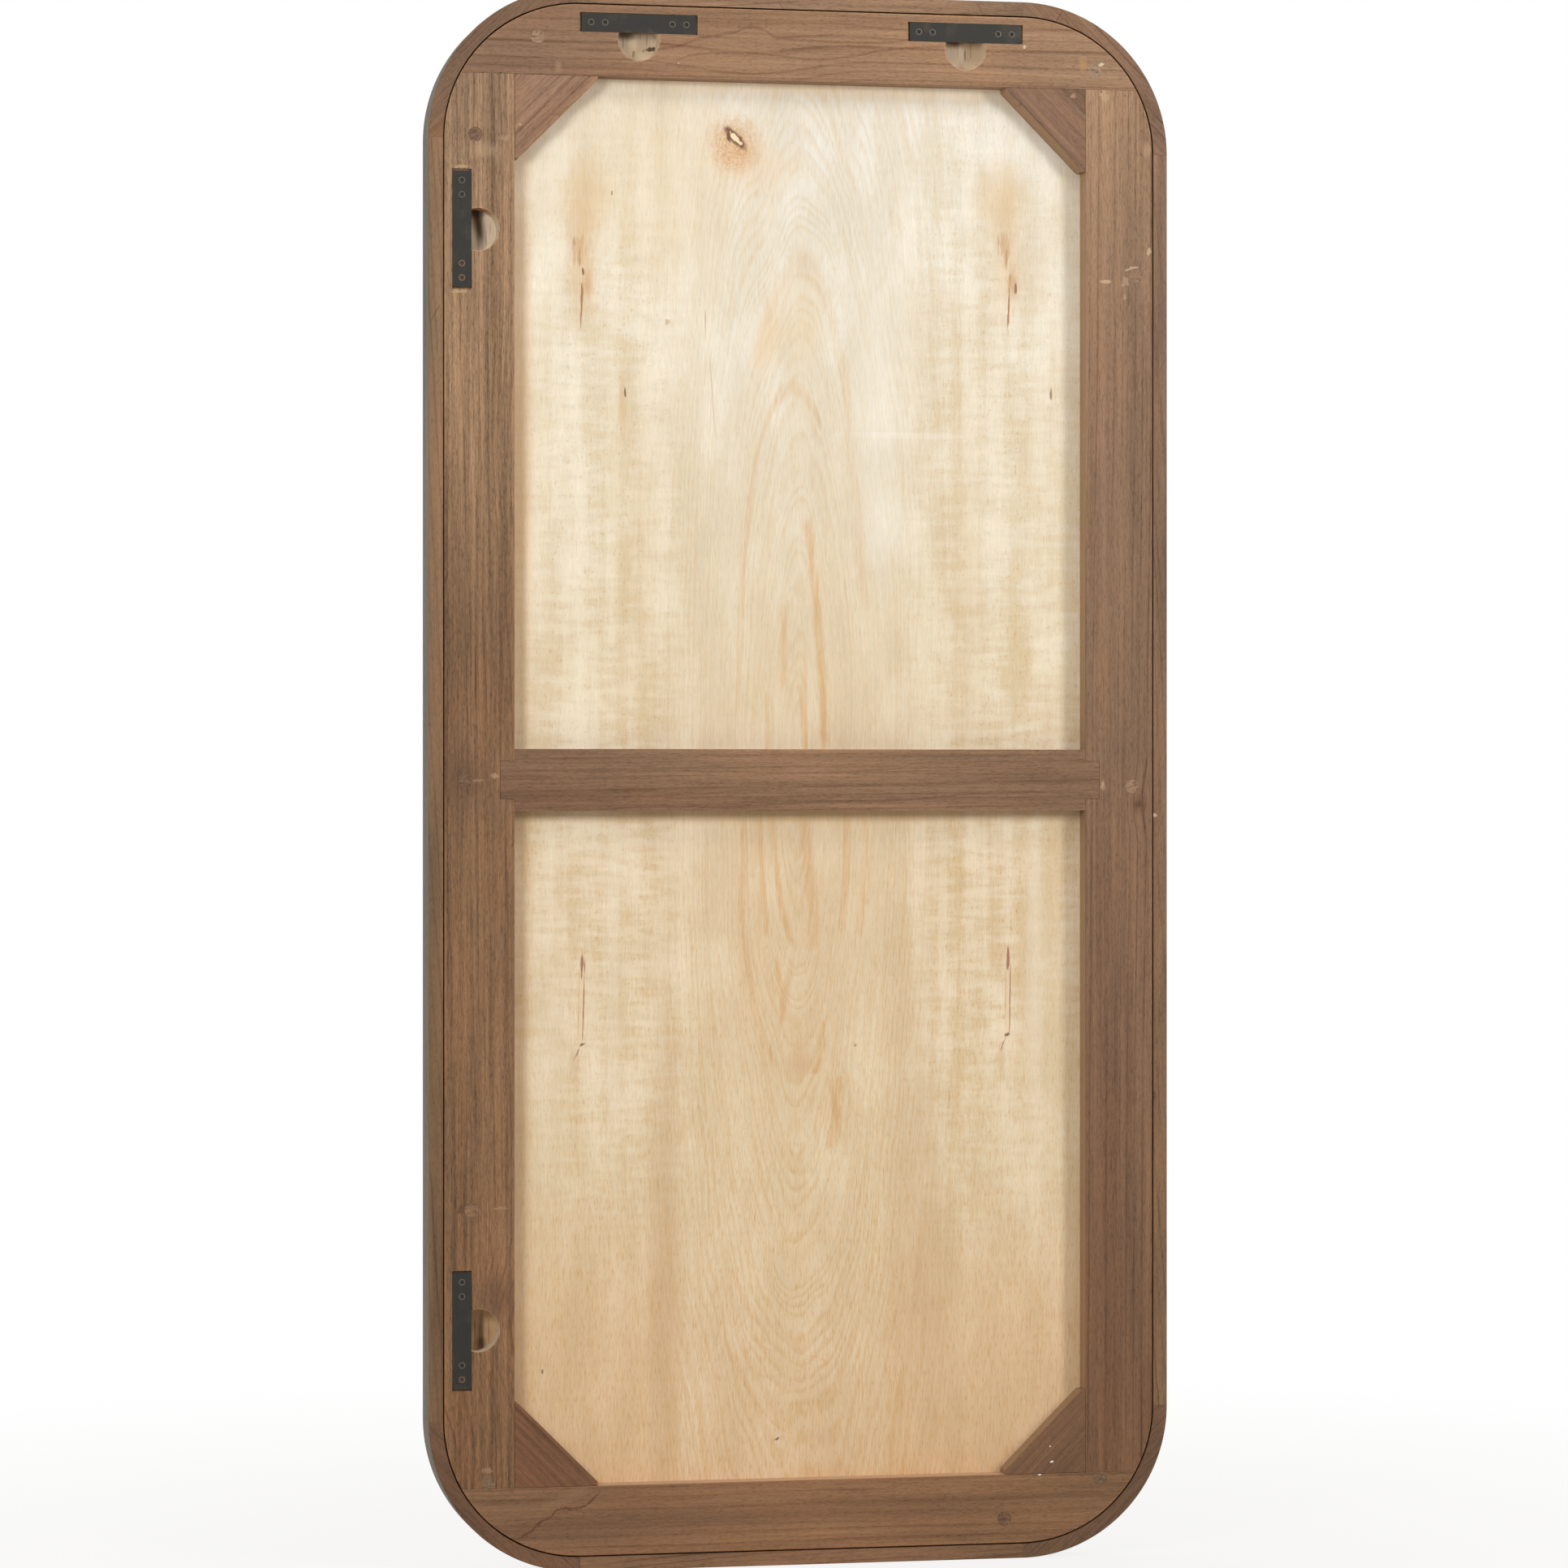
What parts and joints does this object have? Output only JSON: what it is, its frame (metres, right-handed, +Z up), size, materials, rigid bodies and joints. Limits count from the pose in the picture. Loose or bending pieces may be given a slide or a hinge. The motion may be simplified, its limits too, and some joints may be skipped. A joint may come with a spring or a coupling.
{
  "type": "wooden wall mirror",
  "caption": "Tall wooden wall mirror with rounded corners: jointed outer frame, mirror glass, plywood back, braced back frame and flush steel hanger bars.",
  "frame": {"origin": "centre of the back plane, on the mid rail's back face, where the mirror bears on the wall", "axes": "+Z up along the height, +Y into the wall, glass faces -Y, +X is the left side seen from behind"},
  "size_m": [0.8, 0.05, 1.665],
  "materials": {
    "rim_wood": "oiled, open pored",
    "frame_wood": "sanded, stained, open pored",
    "brace_wood": "sawn and stained",
    "plywood": "bare pale veneer",
    "mirror": "silvered float glass",
    "blackened_steel": "blackened, matt",
    "screw_steel": "dark, worn",
    "plug_filler": "sanded wood filler",
    "dowel_wood": "bare beech"
  },
  "bodies": {
    "root": {"back_panel": "plywood", "bottom_rail": "frame_wood", "brace_bottom_left": "brace_wood", "brace_bottom_right": "brace_wood", "brace_top_left": "brace_wood", "brace_top_right": "brace_wood", "frame_screws": "screw_steel", "hanger_plate_side_lower": "blackened_steel", "hanger_plate_side_upper": "blackened_steel", "hanger_plate_top_left": "blackened_steel", "hanger_plate_top_right": "blackened_steel", "hanger_screws": "screw_steel", "left_stile": "frame_wood", "mid_rail": "frame_wood", "mirror_glass": "mirror", "right_stile": "frame_wood", "rim_bottom": "rim_wood", "rim_corner_bottom_left": "rim_wood", "rim_corner_bottom_right": "rim_wood", "rim_corner_top_left": "rim_wood", "rim_corner_top_right": "rim_wood", "rim_dowels": "dowel_wood", "rim_left": "rim_wood", "rim_right": "rim_wood", "rim_top": "rim_wood", "screw_plugs": "plug_filler", "top_rail": "frame_wood"}
  },
  "joints": []
}
